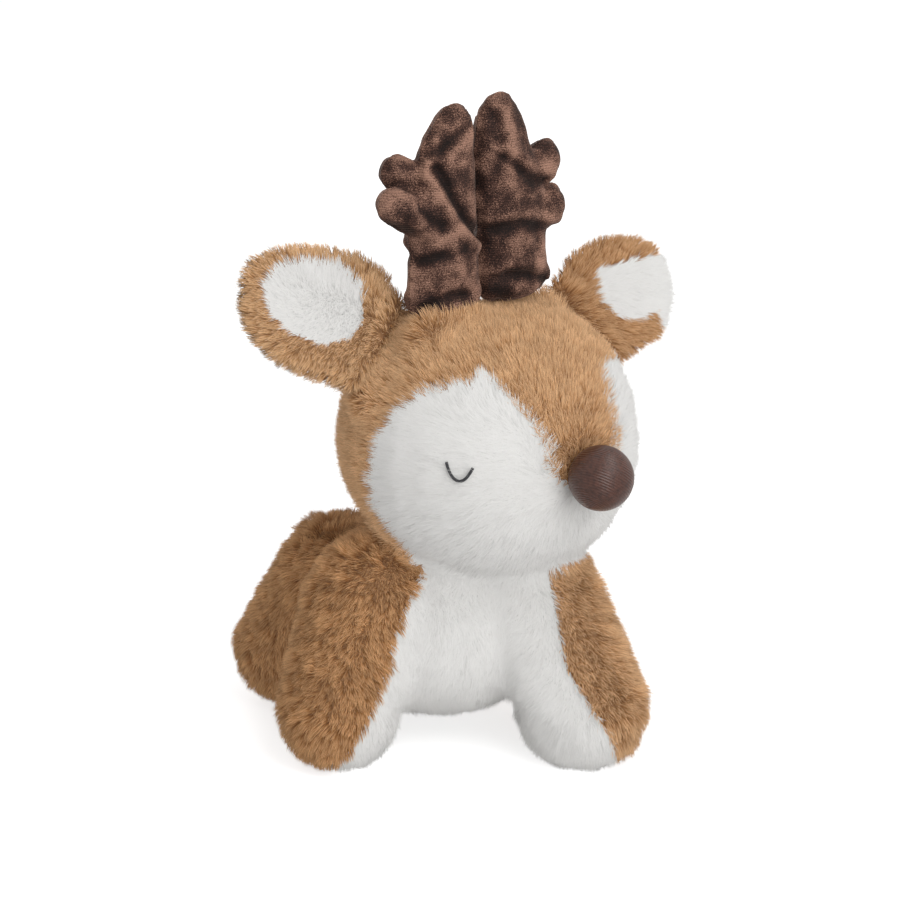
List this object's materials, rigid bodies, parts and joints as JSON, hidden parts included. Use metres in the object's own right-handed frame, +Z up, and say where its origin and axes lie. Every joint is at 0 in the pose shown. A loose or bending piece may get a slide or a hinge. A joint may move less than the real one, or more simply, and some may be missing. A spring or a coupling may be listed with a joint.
{
  "type": "plush deer",
  "caption": "Soft fur deer standing on short splayed legs, its large head turned aside, with upright velvet antlers, a ball nose, stitched closed eyes and ears that flop at their seams.",
  "frame": {"origin": "on the floor, under the middle of the deer's box", "axes": "+Z up, the body faces -Y and the deer's left is +X"},
  "size_m": [0.1882, 0.1614, 0.247],
  "materials": {
    "tan_fur": "short tan pile",
    "white_fur": "short white pile",
    "velvet": "crushed velvet",
    "fibre": "loose polyester fibre",
    "pellet_bag": "plain woven bag",
    "satin": "satin thread",
    "thread": "embroidery thread"
  },
  "bodies": {
    "deer": {"head_cover": "tan_fur", "head_filling": "fibre", "nose": "satin", "cheek_panel_right": "white_fur", "cheek_panel_left": "white_fur", "eye_stitch_right": "thread", "eye_stitch_left": "thread", "body_cover": "tan_fur", "chest_panel": "white_fur", "body_filling": "fibre", "pellet_bag": "pellet_bag", "front_leg_right": "tan_fur", "front_leg_left": "tan_fur", "front_leg_lining_right": "white_fur", "front_leg_lining_left": "white_fur", "hind_leg_right": "tan_fur", "hind_leg_left": "tan_fur", "hind_leg_lining_right": "white_fur", "hind_leg_lining_left": "white_fur"},
    "right_ear": {"ear_right": "tan_fur", "ear_lining_right": "white_fur"},
    "left_ear": {"ear_left": "tan_fur", "ear_lining_left": "white_fur"},
    "right_antler": {"antler_right": "velvet"},
    "left_antler": {"antler_left": "velvet"},
    "tail": {"tail": "tan_fur"}
  },
  "joints": [
    {"name": "ear_right_seam", "type": "hinge", "parent": "deer", "child": "right_ear", "pos_m": [-0.04488, -0.01555, 0.15856], "axis": [0.6232, 0.4501, 0.6395], "range_deg": [-25, 25], "stiffness_Nm_per_rad": 0.06},
    {"name": "ear_left_seam", "type": "hinge", "parent": "deer", "child": "left_ear", "pos_m": [0.04784, 0.01473, 0.15286], "axis": [-0.6313, 0.1044, 0.7685], "range_deg": [-25, 25], "stiffness_Nm_per_rad": 0.06},
    {"name": "antler_right_seam", "type": "hinge", "parent": "deer", "child": "right_antler", "pos_m": [-0.00212, -0.0082, 0.17542], "axis": [-0.9259, -0.3741, -0.0523], "range_deg": [-20, 20], "stiffness_Nm_per_rad": 0.1},
    {"name": "antler_left_seam", "type": "hinge", "parent": "deer", "child": "left_antler", "pos_m": [-0.00212, -0.0082, 0.17542], "axis": [0.9259, 0.3741, 0.0523], "range_deg": [-20, 20], "stiffness_Nm_per_rad": 0.1},
    {"name": "tail_seam", "type": "hinge", "parent": "deer", "child": "tail", "pos_m": [-0.01438, 0.06047, 0.05512], "axis": [1, 0, 0], "range_deg": [-20, 30], "stiffness_Nm_per_rad": 0.05}
  ]
}
